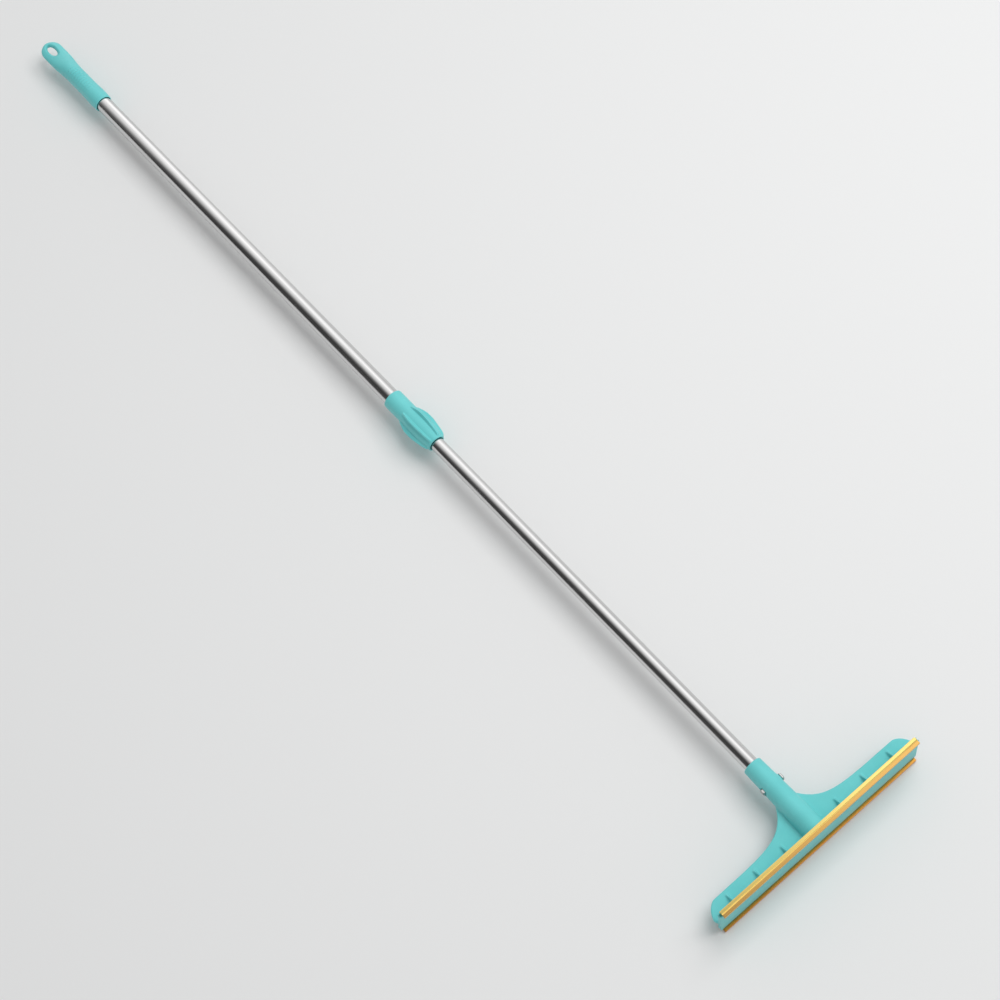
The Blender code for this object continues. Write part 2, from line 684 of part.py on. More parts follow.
def make_cross_bolt(home, cutters):
    """Pan-head screw along X through the socket, the tube and its insert."""
    seat = pad_reach() + GAP
    end = -(socket_radius(BOLT_PLACE) + HEX_PROUD + BOLT_END_PROUD)
    head = BOLT_HEAD_DIAMETER / 2
    rim = seat + BOLT_HEAD_RIM
    dome = BOLT_HEAD_HEIGHT - BOLT_HEAD_RIM
    profile = [(0.0, rim + dome)]
    for angle in (20, 40, 60, 80, 90):
        turn = math.radians(angle)
        profile.append((head * math.sin(turn), rim + dome * math.cos(turn)))
    profile += [
        (head, seat), (BOLT_RADIUS, seat), (BOLT_RADIUS, end + EDGE),
        (BOLT_RADIUS - EDGE, end), (0.0, end)]
    item = turned("cross_bolt", home, profile, SMALL_STEPS)
    place_across(item, 0.0)
    for turn, sides in ((0, (RECESS_SPAN, RECESS_WIDTH)), (1, (RECESS_WIDTH, RECESS_SPAN))):
        top = seat + BOLT_HEAD_HEIGHT
        low = (top - RECESS_DEPTH, BLADES_Y + BOLT_PLACE - sides[0] / 2, AXIS_HEIGHT - sides[1] / 2)
        high = (top + MM, BLADES_Y + BOLT_PLACE + sides[0] / 2, AXIS_HEIGHT + sides[1] / 2)
        boolean(item, box("driver_recess_%d" % turn, cutters, low, high), "DIFFERENCE")
    return item


def make_hex_nut(home, cutters):
    item = rod("hex_nut", home, hexagon_radius(), HEX_HEIGHT, 6)
    place_across(item, -(hexagon_floor() + GAP + HEX_HEIGHT / 2))
    hole = rod("hex_hole", cutters, BOLT_HOLE, 4 * HEX_HEIGHT)
    place_across(hole, -(hexagon_floor() + GAP + HEX_HEIGHT / 2))
    boolean(item, hole, "DIFFERENCE")
    return item


def give(items, made):
    for item in items:
        item.data.materials.clear()
        item.data.materials.append(made)


def main():
    clear_scene()
    parts = new_collection(PART_COLLECTION)
    cutters = new_collection(CUTTER_COLLECTION)

    grip = make_grip(parts, cutters)
    outer_tube = make_outer_tube(parts)
    ferrule = make_lock_ferrule(parts)
    bush = make_clamp_bush(parts, cutters)
    nut = make_lock_nut(parts, cutters)
    guide = make_guide_plug(parts)
    inner_tube = make_inner_tube(parts, cutters)
    insert = make_tube_insert(parts, cutters)
    head = make_head_body(parts, cutters)
    upper = make_strip("upper_strip", parts, 1)
    lower = make_strip("lower_strip", parts, -1)
    bolt = make_cross_bolt(parts, cutters)
    hexagon = make_hex_nut(parts, cutters)

    for item, name, colour, roughness, metallic in (
            (grip, "grip_plastic", TEAL, 0.42, 0.0),
            (outer_tube, "outer_tube_steel", STEEL, 0.16, 1.0),
            (ferrule, "ferrule_plastic", NATURAL_PLASTIC, 0.5, 0.0),
            (bush, "bush_plastic", NATURAL_PLASTIC, 0.5, 0.0),
            (nut, "nut_plastic", TEAL, 0.40, 0.0),
            (guide, "guide_plastic", DARK_PLASTIC, 0.5, 0.0),
            (inner_tube, "inner_tube_steel", STEEL, 0.16, 1.0),
            (insert, "insert_plastic", DARK_PLASTIC, 0.5, 0.0),
            (head, "head_plastic", TEAL, 0.42, 0.0),
            (upper, "upper_strip_brass", BRASS, 0.25, 1.0),
            (lower, "lower_strip_brass", BRASS, 0.25, 1.0),
            (bolt, "bolt_steel", STEEL, 0.3, 1.0),
            (hexagon, "hexagon_steel", STEEL, 0.35, 1.0)):
        give([item], new_material(name, colour, roughness, metallic))

    carry(new_pivot("pole_slide_and_turn", OUTER_TUBE_FOOT, parts),
          [guide, inner_tube, insert, head, upper, lower, bolt, hexagon])
    carry(new_pivot("lock_turn", NUT_NOSE, parts), [bush, nut])
    bpy.context.view_layer.update()


main()
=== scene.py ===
import math

import bpy
from mathutils import Matrix, Vector


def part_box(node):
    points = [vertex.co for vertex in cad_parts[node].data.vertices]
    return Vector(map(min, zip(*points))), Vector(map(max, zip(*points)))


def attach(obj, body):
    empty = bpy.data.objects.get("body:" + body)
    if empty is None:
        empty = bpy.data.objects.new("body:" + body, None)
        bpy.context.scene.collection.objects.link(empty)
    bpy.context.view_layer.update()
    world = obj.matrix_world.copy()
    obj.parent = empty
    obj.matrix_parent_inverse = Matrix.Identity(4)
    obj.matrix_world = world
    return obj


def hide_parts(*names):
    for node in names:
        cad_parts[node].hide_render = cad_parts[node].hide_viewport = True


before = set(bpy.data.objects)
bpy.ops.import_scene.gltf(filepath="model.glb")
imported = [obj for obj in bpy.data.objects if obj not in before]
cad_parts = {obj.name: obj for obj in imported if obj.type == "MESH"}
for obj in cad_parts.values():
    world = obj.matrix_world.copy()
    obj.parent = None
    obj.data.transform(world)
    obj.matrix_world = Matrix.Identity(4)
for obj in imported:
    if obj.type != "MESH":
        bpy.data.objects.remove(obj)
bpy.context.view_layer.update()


# Viewpoint: the tool lies on the floor and is seen from above its left side,
# with the head nearest and the grip furthest away.
head_low, head_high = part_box("head_body")
strip_low, strip_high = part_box("lower_strip")
blades = (strip_low.y + strip_high.y) / 2
VIEW_LEFT = 0.4661
VIEW_BEFORE_BLADES = 0.3986
VIEW_ABOVE_HEAD = 2.0153
VIEW_TURN = (25.49, 5.98, -40.49)
camera_data = bpy.data.cameras.new("viewpoint")
camera_data.sensor_width = 36.0
camera_data.lens = 78.0
camera = bpy.data.objects.new("viewpoint", camera_data)
camera.location = (-VIEW_LEFT, blades - VIEW_BEFORE_BLADES, head_high.z + VIEW_ABOVE_HEAD)
camera.rotation_euler = [math.radians(turn) for turn in VIEW_TURN]
bpy.context.scene.collection.objects.link(camera)
bpy.context.scene.camera = camera


# Outer tube: thin-walled stainless steel, drawn, welded along its length and
# polished. Both ends are hidden, one in the grip and one in the lock nut.
tube_low, tube_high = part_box("outer_tube")
AXIS = Vector(((tube_low.x + tube_high.x) / 2, 0.0, (tube_low.z + tube_high.z) / 2))
TUBE_WALL = 0.00045


def deselect():
    """Leave edit mode and drop the whole selection."""
    if bpy.context.object and bpy.context.object.mode != "OBJECT":
        bpy.ops.object.mode_set(mode="OBJECT")
    bpy.ops.object.select_all(action="DESELECT")


def settle(piece, name):
    """Bake the piece's place into its mesh and leave the object at the origin."""
    deselect()
    piece.select_set(True)
    bpy.context.view_layer.objects.active = piece
    bpy.ops.object.transform_apply(location=True, rotation=True, scale=True)
    piece.name = name
    piece.data.name = name
    return piece


def apply_all(piece):
    """Apply the piece's modifiers in their order."""
    bpy.context.view_layer.objects.active = piece
    for step in list(piece.modifiers):
        bpy.ops.object.modifier_apply(modifier=step.name)


def pick_faces(piece, wanted):
    """Go into edit mode with only the faces selected whose centre and normal fit."""
    bpy.ops.object.mode_set(mode="EDIT")
    bpy.ops.mesh.select_mode(type="FACE")
    bpy.ops.mesh.select_all(action="DESELECT")
    bpy.ops.object.mode_set(mode="OBJECT")
    for face in piece.data.polygons:
        face.select = wanted(face.center, face.normal)
    bpy.ops.object.mode_set(mode="EDIT")


def round_tube(name, low, high, wall):
    """A drawn tube along Y between two box corners, its rims broken."""
    deselect()
    radius = (high.x - low.x) / 2
    bpy.ops.mesh.primitive_cylinder_add(
        vertices=128, radius=radius, depth=high.y - low.y, end_fill_type="NOTHING",
        location=(AXIS.x, (low.y + high.y) / 2, AXIS.z), rotation=(math.pi / 2, 0.0, 0.0))
    tube = settle(bpy.context.object, name)
    shell = tube.modifiers.new("wall", "SOLIDIFY")
    shell.thickness = wall
    shell.offset = -1.0
    rim = tube.modifiers.new("rims", "BEVEL")
    rim.width = wall / 5
    rim.segments = 2
    rim.limit_method = "ANGLE"
    rim.angle_limit = math.radians(60)
    apply_all(tube)
    bpy.ops.object.shade_smooth_by_angle(angle=math.radians(35))
    return tube


def new_group(name, inputs, outputs):
    """An empty shader node group with named sockets: {name: (type, default)}."""
    group = bpy.data.node_groups.new(name, "ShaderNodeTree")
    for label, (kind, value) in inputs.items():
        socket = group.interface.new_socket(label, in_out="INPUT", socket_type=kind)
        if value is not None:
            socket.default_value = value
    for label, kind in outputs.items():
        group.interface.new_socket(label, in_out="OUTPUT", socket_type=kind)
    return group


def noise(tree, coords, scale, detail, stretch=(1.0, 1.0, 1.0)):
    """Noise on mapped coordinates; returns its factor socket."""
    place = tree.nodes.new("ShaderNodeMapping")
    place.inputs["Scale"].default_value = stretch
    tree.links.new(coords, place.inputs["Vector"])
    field = tree.nodes.new("ShaderNodeTexNoise")
    field.inputs["Detail"].default_value = detail
    tree.links.new(place.outputs["Vector"], field.inputs["Vector"])
    if hasattr(scale, "is_output"):
        tree.links.new(scale, field.inputs["Scale"])
    else:
        field.inputs["Scale"].default_value = scale
    return field.outputs["Fac"]


def spread(tree, value, low, high, out_low=0.0, out_high=1.0):
    """Map a value from low..high to out_low..out_high, clamped."""
    span = tree.nodes.new("ShaderNodeMapRange")
    for label, number in (("From Min", low), ("From Max", high), ("To Min", out_low), ("To Max", out_high)):
        if hasattr(number, "is_output"):
            tree.links.new(number, span.inputs[label])
        else:
            span.inputs[label].default_value = number
    tree.links.new(value, span.inputs["Value"])
    return span.outputs["Result"]


def math_node(tree, operation, first, second):
    """A Math node whose two operands are sockets or numbers."""
    node = tree.nodes.new("ShaderNodeMath")
    node.operation = operation
    for slot, value in enumerate((first, second)):
        if hasattr(value, "is_output"):
            tree.links.new(value, node.inputs[slot])
        else:
            node.inputs[slot].default_value = value
    return node.outputs["Value"]


def mix_colour(tree, share, first, second):
    """Mix two colours, each a socket or an RGBA tuple."""
    node = tree.nodes.new("ShaderNodeMix")
    node.data_type = "RGBA"
    for label, value in ((0, share), (6, first), (7, second)):
        if hasattr(value, "is_output"):
            tree.links.new(value, node.inputs[label])
        else:
            node.inputs[label].default_value = value
    return node.outputs[2]


# drawn metal: streaks along the length, faint smudges and fine handling scratches
drawn = new_group(
    "drawn_metal",
    {"Colour": ("NodeSocketColor", (0.6, 0.6, 0.6, 1.0)), "Dark": ("NodeSocketColor", (0.4, 0.4, 0.4, 1.0)),
     "Roughness": ("NodeSocketFloat", 0.15), "Streak": ("NodeSocketFloat", 0.5),
     "Along": ("NodeSocketVector", (1.0, 1.0, 1.0))},
    {"Colour": "NodeSocketColor", "Roughness": "NodeSocketFloat", "Height": "NodeSocketFloat"})
inside = drawn.nodes.new("NodeGroupInput")
result = drawn.nodes.new("NodeGroupOutput")
place = drawn.nodes.new("ShaderNodeTexCoord")
stretched = drawn.nodes.new("ShaderNodeVectorMath")
stretched.operation = "MULTIPLY"
drawn.links.new(place.outputs["Object"], stretched.inputs[0])
drawn.links.new(inside.outputs["Along"], stretched.inputs[1])
streaks = noise(drawn, stretched.outputs["Vector"], 900.0, 4.0)
smudges = noise(drawn, place.outputs["Object"], 45.0, 3.0)
scratches = noise(drawn, stretched.outputs["Vector"], 2600.0, 2.0)
streak_mask = spread(drawn, streaks, 0.35, 0.68)
smudge_mask = spread(drawn, smudges, 0.52, 0.75)
scratch_mask = spread(drawn, scratches, 0.70, 0.78)
faded = math_node(drawn, "MULTIPLY", streak_mask, inside.outputs["Streak"])
toned = mix_colour(drawn, faded, inside.outputs["Colour"], inside.outputs["Dark"])
drawn.links.new(toned, result.inputs["Colour"])
rough = math_node(drawn, "ADD", inside.outputs["Roughness"], math_node(drawn, "MULTIPLY", faded, 0.10))
rough = math_node(drawn, "ADD", rough, math_node(drawn, "MULTIPLY", smudge_mask, 0.10))
rough = math_node(drawn, "ADD", rough, math_node(drawn, "MULTIPLY", scratch_mask, 0.12))
drawn.links.new(rough, result.inputs["Roughness"])
height = math_node(drawn, "SUBTRACT", streaks, math_node(drawn, "MULTIPLY", scratch_mask, 0.6))
drawn.links.new(height, result.inputs["Height"])


def metal(name, colour, dark, roughness, streak, along, relief):
    """A metal whose colour, gloss and relief come from the drawn_metal group."""
    made = bpy.data.materials.new(name)
    made.use_nodes = True
    tree = made.node_tree
    shader = tree.nodes["Principled BSDF"]
    shader.inputs["Metallic"].default_value = 1.0
    finish = tree.nodes.new("ShaderNodeGroup")
    finish.node_tree = drawn
    finish.inputs["Colour"].default_value = (*colour, 1.0)
    finish.inputs["Dark"].default_value = (*dark, 1.0)
    finish.inputs["Roughness"].default_value = roughness
    finish.inputs["Streak"].default_value = streak
    finish.inputs["Along"].default_value = along
    bump = tree.nodes.new("ShaderNodeBump")
    bump.inputs["Strength"].default_value = 0.25
    bump.inputs["Distance"].default_value = relief
    tree.links.new(finish.outputs["Colour"], shader.inputs["Base Color"])
    tree.links.new(finish.outputs["Roughness"], shader.inputs["Roughness"])
    tree.links.new(finish.outputs["Height"], bump.inputs["Height"])
    tree.links.new(bump.outputs["Normal"], shader.inputs["Normal"])
    return made


def coat(piece, made):
    """Give the whole piece one material."""
    piece.data.materials.clear()
    piece.data.materials.append(made)


ALONG_Y = (1.0, 0.012, 1.0)
steel = metal("polished_steel", (0.66, 0.655, 0.65), (0.56, 0.56, 0.57), 0.13, 0.45, ALONG_Y, 0.00002)
outer_pole = round_tube("outer_pole", tube_low, tube_high, TUBE_WALL)
coat(outer_pole, steel)
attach(outer_pole, "handle")
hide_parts("outer_tube")


# Hand grip: one teal moulding pushed over the pole's end. Its round palm carries
# rows of raised grip bars and flattens into an oval eye for hanging it up.
grip_low, grip_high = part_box("hand_grip")
GRIP_RIM_RADIUS = 0.0109
GRIP_EDGE = 0.0007
GRIP_BORE = 0.0098
GRIP_BORE_DEPTH = 0.0653
EYE_HALF_WIDTH = 0.0041
EYE_HALF_LENGTH = 0.0096
EYE_CENTRE = grip_high.y - 0.0146
EYE_SIDE = (grip_high.x - grip_low.x) / 2 - 0.0001
EYE_CROWN = 0.0041
EYE_THROAT = 0.0012
EYE_FLARES = ((0.0014, 1.20, 1.06), (0.0030, 1.9, 1.4))
GRIP_SWELL = 0.0006
BAR_COUNT = 11
BAR_PITCH = 0.0042
BAR_WIDTH = 0.0017
BAR_REACH = 0.0052
BAR_RISE = 0.0007
BAR_MIDDLE = 0.040
BAR_FOOT = 0.009


def add_rod(radius, low_y, high_y, sides=64):
    """A closed cylinder on the pole's axis between two places along Y."""
    deselect()
    bpy.ops.mesh.primitive_cylinder_add(
        vertices=sides, radius=radius, depth=high_y - low_y,
        location=(AXIS.x, (low_y + high_y) / 2, AXIS.z), rotation=(math.pi / 2, 0.0, 0.0))
    return settle(bpy.context.object, "rod")


def add_block(low, high):
    """A box between two corners."""
    deselect()
    middle = [(a + b) / 2 for a, b in zip(low, high)]
    bpy.ops.mesh.primitive_cube_add(size=1.0, location=middle)
    block = bpy.context.object
    block.scale = [b - a for a, b in zip(low, high)]
    return settle(block, "block")


def grow_along(piece, rings):
    """Draw the piece's far end out along Y: each ring is (place, x factor, z factor)."""
    end = max(point.co.y for point in piece.data.vertices)
    pick_faces(piece, lambda centre, normal: centre.y > end - 0.00001)
    for place, wide, tall in rings:
        bpy.ops.mesh.extrude_region_move(TRANSFORM_OT_translate={"value": (0.0, place - end, 0.0)})
        bpy.ops.transform.resize(value=(wide, 1.0, tall), center_override=(AXIS.x, place, AXIS.z))
        end = place
    bpy.ops.object.mode_set(mode="OBJECT")


def combine(target, others, operation):
    """Join each other solid to the target, cut it out, or keep what they share."""
    for other in others:
        deselect()
        step = target.modifiers.new("fit", "BOOLEAN")
        step.operation = operation
        step.solver = "EXACT"
        step.object = other
        apply_all(target)
        bpy.data.objects.remove(other, do_unlink=True)


def mould(piece, voxel, passes):
    """Fuse a piece into one skin with the small radii that a mould leaves."""
    deselect()
    skin = piece.modifiers.new("skin", "REMESH")
    skin.mode = "VOXEL"
    skin.voxel_size = voxel
    relax = piece.modifiers.new("relax", "SMOOTH")
    relax.factor = 0.5
    relax.iterations = passes
    apply_all(piece)
    piece.select_set(True)
    bpy.ops.object.shade_smooth()


rim = grip_low.y
grip = add_rod(GRIP_RIM_RADIUS - GRIP_EDGE, rim, rim + 0.0001)
palm = GRIP_RIM_RADIUS
nose = grip_high.y - EYE_CENTRE - 0.0002
stations = [
    (0.0007, palm, palm), (0.0040, palm + GRIP_SWELL / 2, palm + GRIP_SWELL / 2),
    (0.0080, palm + GRIP_SWELL, palm + GRIP_SWELL), (0.0160, palm + GRIP_SWELL, palm + GRIP_SWELL),
    (0.0230, palm + GRIP_SWELL / 2, palm + GRIP_SWELL / 2), (0.0310, palm, palm), (0.0600, palm, palm),
    (0.0660, palm + 0.0002, 0.0107), (0.0715, palm + 0.0006, 0.0100), (0.0770, palm + 0.0011, 0.0090),
    (0.0830, palm + 0.0017, 0.0077), (0.0890, EYE_SIDE - 0.0001, 0.0064), (0.0950, EYE_SIDE, 0.0053),
    (0.1010, EYE_SIDE, EYE_CROWN + 0.0003), (EYE_CENTRE - rim, EYE_SIDE, EYE_CROWN)]
for angle in (12, 25, 38, 50, 62, 72, 81, 87):
    tip = math.radians(angle)
    stations.append(
        (EYE_CENTRE - rim + nose * math.sin(tip), EYE_SIDE * math.cos(tip), EYE_CROWN * math.cos(tip) ** 0.6))
rings = []
wide, tall = GRIP_RIM_RADIUS - GRIP_EDGE, GRIP_RIM_RADIUS - GRIP_EDGE
for out, next_wide, next_tall in stations:
    rings.append((rim + out, next_wide / wide, next_tall / tall))
    wide, tall = next_wide, next_tall
grow_along(grip, rings)
for side in (-1, 1):
    for i in range(BAR_COUNT):
        place = rim + BAR_MIDDLE + (i - (BAR_COUNT - 1) / 2) * BAR_PITCH
        bar = add_rod(GRIP_RIM_RADIUS + BAR_RISE, place - BAR_WIDTH / 2, place + BAR_WIDTH / 2)
        edge = AXIS.z + side * BAR_FOOT
        far = AXIS.z + side * (GRIP_RIM_RADIUS + BAR_RISE + 0.002)
        window = add_block(
            (-BAR_REACH, place - BAR_WIDTH, min(edge, far)), (BAR_REACH, place + BAR_WIDTH, max(edge, far)))
        combine(bar, [window], "INTERSECT")
        combine(grip, [bar], "UNION")
bore = add_rod(GRIP_BORE, rim - 0.001, rim + GRIP_BORE_DEPTH)
deselect()
bpy.ops.mesh.primitive_cylinder_add(
    vertices=64, radius=1.0, depth=2.0, location=(AXIS.x, EYE_CENTRE, AXIS.z))
eye = bpy.context.object
eye.scale = (EYE_HALF_WIDTH, EYE_HALF_LENGTH, EYE_THROAT)
settle(eye, "eye")
for side in (-1, 1):
    pick_faces(eye, lambda centre, normal: normal.z * side > 0.99 and (centre.z - AXIS.z) * side > 0.0)
    for out, wider, longer in EYE_FLARES:
        bpy.ops.mesh.extrude_region_move(TRANSFORM_OT_translate={"value": (0.0, 0.0, side * out)})
        bpy.ops.transform.resize(value=(wider, longer, 1.0), center_override=(AXIS.x, EYE_CENTRE, AXIS.z))
    bpy.ops.object.mode_set(mode="OBJECT")
combine(grip, [bore, eye], "DIFFERENCE")
mould(grip, 0.00042, 6)
grip.name = "grip_moulding"

# moulded plastic: a fine spark-eroded grain, cloudy tone, scuffs, paler worn edges and painted shade in the
# hollows
moulded = new_group(
    "moulded_plastic",
    {"Colour": ("NodeSocketColor", (0.2, 0.6, 0.6, 1.0)), "Deep": ("NodeSocketColor", (0.1, 0.5, 0.5, 1.0)),
     "Worn": ("NodeSocketColor", (0.5, 0.8, 0.8, 1.0)), "Roughness": ("NodeSocketFloat", 0.4),
     "Wear": ("NodeSocketFloat", 0.3), "Grain": ("NodeSocketFloat", 1800.0)},
    {"Colour": "NodeSocketColor", "Roughness": "NodeSocketFloat", "Height": "NodeSocketFloat"})
inside = moulded.nodes.new("NodeGroupInput")
result = moulded.nodes.new("NodeGroupOutput")
place = moulded.nodes.new("ShaderNodeTexCoord")
shape = moulded.nodes.new("ShaderNodeNewGeometry")
clouds = noise(moulded, place.outputs["Object"], 28.0, 3.0)
grain = noise(moulded, place.outputs["Object"], inside.outputs["Grain"], 2.0)
scuffs = noise(moulded, place.outputs["Object"], 260.0, 5.0, (1.0, 0.25, 1.0))
scuff_mask = spread(moulded, scuffs, 0.60, 0.74)
edge_mask = spread(moulded, shape.outputs["Pointiness"], 0.53, 0.62)
# painted shade: concave places and creases are found by low pointiness
hollow_shade_mask = spread(moulded, shape.outputs["Pointiness"], 0.47, 0.40)
rubbed = math_node(moulded, "MULTIPLY", edge_mask, spread(moulded, clouds, 0.40, 0.62, 0.25, 1.0))
rubbed = math_node(moulded, "MULTIPLY", rubbed, inside.outputs["Wear"])
cloud_mask = spread(moulded, clouds, 0.35, 0.70, 0.0, 0.35)
toned = mix_colour(moulded, cloud_mask, inside.outputs["Colour"], inside.outputs["Deep"])
# painted shade: the hollows are darkened towards the deep teal
toned = mix_colour(moulded, math_node(moulded, "MULTIPLY", hollow_shade_mask, 0.45), toned, inside.outputs["Deep"])
toned = mix_colour(moulded, rubbed, toned, inside.outputs["Worn"])
toned = mix_colour(moulded, math_node(moulded, "MULTIPLY", scuff_mask, 0.10), toned, inside.outputs["Worn"])
moulded.links.new(toned, result.inputs["Colour"])
scuffed = math_node(moulded, "MULTIPLY", scuff_mask, 0.16)
rough = math_node(moulded, "ADD", inside.outputs["Roughness"], scuffed)
rough = math_node(moulded, "ADD", rough, spread(moulded, clouds, 0.3, 0.7, -0.04, 0.05))
moulded.links.new(rough, result.inputs["Roughness"])
height = math_node(moulded, "SUBTRACT", grain, math_node(moulded, "MULTIPLY", scuff_mask, 0.5))
moulded.links.new(height, result.inputs["Height"])


def plastic(name, colour, deep, worn, roughness, wear, grain_scale, relief):
    """A moulded plastic finished by the moulded_plastic group."""
    made = bpy.data.materials.new(name)
    made.use_nodes = True
    tree = made.node_tree
    shader = tree.nodes["Principled BSDF"]
    shader.inputs["IOR"].default_value = 1.49
    finish = tree.nodes.new("ShaderNodeGroup")
    finish.node_tree = moulded
    finish.inputs["Colour"].default_value = (*colour, 1.0)
    finish.inputs["Deep"].default_value = (*deep, 1.0)
    finish.inputs["Worn"].default_value = (*worn, 1.0)
    finish.inputs["Roughness"].default_value = roughness
    finish.inputs["Wear"].default_value = wear
    finish.inputs["Grain"].default_value = grain_scale
    bump = tree.nodes.new("ShaderNodeBump")
    bump.inputs["Strength"].default_value = 0.35
    bump.inputs["Distance"].default_value = relief
    tree.links.new(finish.outputs["Colour"], shader.inputs["Base Color"])
    tree.links.new(finish.outputs["Roughness"], shader.inputs["Roughness"])
    tree.links.new(finish.outputs["Height"], bump.inputs["Height"])
    tree.links.new(bump.outputs["Normal"], shader.inputs["Normal"])
    return made


TEAL = (0.153, 0.615, 0.620)
TEAL_DEEP = (0.093, 0.485, 0.500)
TEAL_WORN = (0.330, 0.740, 0.770)
coat(grip, plastic("grip_teal", TEAL, TEAL_DEEP, TEAL_WORN, 0.40, 0.35, 1500.0, 0.00005))
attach(grip, "handle")
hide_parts("hand_grip")


# Lock nut: the teal twist collar. A plain skirt screws on the ferrule, six raised
# fins give the fingers purchase, and the nose tapers down onto the inner tube.
nut_low, nut_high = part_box("lock_nut")
NUT_SKIRT = 0.01175
NUT_NOSE = 0.0102
NUT_EDGE = 0.0006
FIN_COUNT = 6
FIN_ROOT = 0.0023
FIN_CREST = 0.0010
FIN_FOOT = 0.0090
FIN_START = 0.0124
NUT_THREAD = 0.0109
NUT_THROAT = 0.0086
CONE_NOSE = 0.0093
CONE_MOUTH = 0.0102
CONE_LOW = 0.0107
CONE_HIGH = 0.0372
collar = add_rod(NUT_NOSE - NUT_EDGE, nut_low.y, nut_low.y + 0.0001)
steps = (
    (0.0007, NUT_NOSE + 0.0002), (0.0040, 0.0109), (0.0100, 0.0118), (0.0180, 0.0126), (0.0270, 0.0130),
    (0.0360, 0.0128), (0.0430, 0.0122), (0.0490, NUT_SKIRT),
    (0.0740, NUT_SKIRT), (0.0750, NUT_SKIRT - 0.0003), (0.0755, NUT_SKIRT - NUT_EDGE - 0.0003))
rings = []
radius = NUT_NOSE - NUT_EDGE
for out, wide in steps:
    rings.append((nut_low.y + out, wide / radius, wide / radius))
    radius = wide
grow_along(collar, rings)
fin_top = nut_high.y - 0.027
crest = (nut_high.x - nut_low.x) / 2 - 0.0001
FIN_LINE = (
    (0.0015, 0.0132), (0.0045, 0.0142), (0.0090, 0.0157), (0.0130, 0.0165), (0.0170, crest),
    (0.0230, crest), (0.0280, 0.0160), (0.0340, 0.0151), (0.0390, 0.0143), (0.0440, 0.0130),
    (0.0465, 0.0114))


def turn_about_pole(piece, angle):
    """Turn a finished piece about the pole's axis and keep its object at the origin."""
    centre = Matrix.Translation(AXIS)
    piece.data.transform(centre @ Matrix.Rotation(angle, 4, "Y") @ centre.inverted())


for i in range(FIN_COUNT):
    level = FIN_START
    fin = add_block((-FIN_ROOT, fin_top - 0.0002, AXIS.z + FIN_FOOT), (FIN_ROOT, fin_top, AXIS.z + level))
    pick_faces(fin, lambda centre, normal: normal.z > 0.5)
    bpy.ops.transform.resize(value=(FIN_CREST / FIN_ROOT, 1.0, 1.0), center_override=(0.0, fin_top, 0.0))
    bpy.ops.object.mode_set(mode="OBJECT")
    pick_faces(fin, lambda centre, normal: normal.y < -0.5)
    along = 0.0002
    for out, height in FIN_LINE:
        bpy.ops.mesh.extrude_region_move(TRANSFORM_OT_translate={"value": (0.0, along - out, 0.0)})
        taller = (height - FIN_FOOT) / (level - FIN_FOOT)
        bpy.ops.transform.resize(value=(1.0, 1.0, taller), center_override=(0.0, 0.0, AXIS.z + FIN_FOOT))
        level = height
        along = out
    bpy.ops.object.mode_set(mode="OBJECT")
    turn_about_pole(fin, math.pi / 2 + 2 * math.pi * i / FIN_COUNT)
    combine(collar, [fin], "UNION")
thread = add_rod(NUT_THREAD, nut_low.y + CONE_HIGH, nut_high.y + 0.001)
throat = add_rod(NUT_THROAT, nut_low.y - 0.001, nut_high.y + 0.001)
seat = add_rod(CONE_NOSE, nut_low.y + CONE_LOW, nut_low.y + CONE_LOW + 0.0003)
grow_along(seat, [(nut_low.y + CONE_HIGH, CONE_MOUTH / CONE_NOSE, CONE_MOUTH / CONE_NOSE)])
combine(collar, [thread, throat, seat], "DIFFERENCE")
mould(collar, 0.00041, 5)
collar.name = "twist_collar"
coat(collar, plastic("collar_teal", TEAL, TEAL_DEEP, TEAL_WORN, 0.38, 0.45, 1500.0, 0.00004))
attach(collar, "lock")
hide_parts("lock_nut")


# Inner tube: the same steel, one size down, sliding in the outer one. Its foot
# is bolted into the head's socket and its top end carries the guide plug.
slim_low, slim_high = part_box("inner_tube")
inner_pole = round_tube("inner_pole", slim_low, slim_high, TUBE_WALL)
coat(inner_pole, steel)
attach(inner_pole, "head")
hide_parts("inner_tube")


# Head: a teal T moulding. A thin plate with a swept web joins the flange that
# holds the strips to the conical socket, and small ribs brace the two.
head_low, head_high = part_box("head_body")
bolt_low, bolt_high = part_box("cross_bolt")
BOLT_Y = (bolt_low.y + bolt_high.y) / 2
HALF_WIDTH = head_high.x - 0.0001
FLANGE_SIDE = HALF_WIDTH - 0.0020
PLATE_LEVEL = AXIS.z - 0.005
PLATE_HALF = 0.0025
PLATE_DEPTH = 0.0224
FLANGE_DEPTH = 0.0046
SOCKET_REAR = 0.0106
SOCKET_FRONT = 0.0131
SOCKET_BORE = 0.0083
SOCKET_DEPTH = 0.050
PLATE_CORNER = 0.014
PLATE_CORNER_FRONT = 0.006
PLATE_CORNER_SHAPE = 1.25
SWEEP_HEIGHT = 0.025
SWEEP_LENGTH = 0.0155
RIB_PITCH = 0.0354
RIB_HALF = 0.0010
RIB_LENGTH = 0.0142
RIB_RISE_ABOVE = 0.0110
RIB_RISE_BELOW = 0.0090
RIB_TIP = 0.09
BOLT_PAD_RADIUS = 0.0045
BOLT_PAD_FACE = 0.0117
POCKET_RADIUS = 0.0047
POCKET_DEPTH = 0.004
POCKET_MIDDLE = 0.0108
SLOT_HALF = 0.0011
SLOT_DEPTH = 0.003
front = head_low.y
flange_middle = front + FLANGE_DEPTH / 2
arm = blades + PLATE_DEPTH
mouth = head_high.y
boss = SOCKET_REAR + (SOCKET_FRONT - SOCKET_REAR) * (mouth - arm) / (mouth - front)

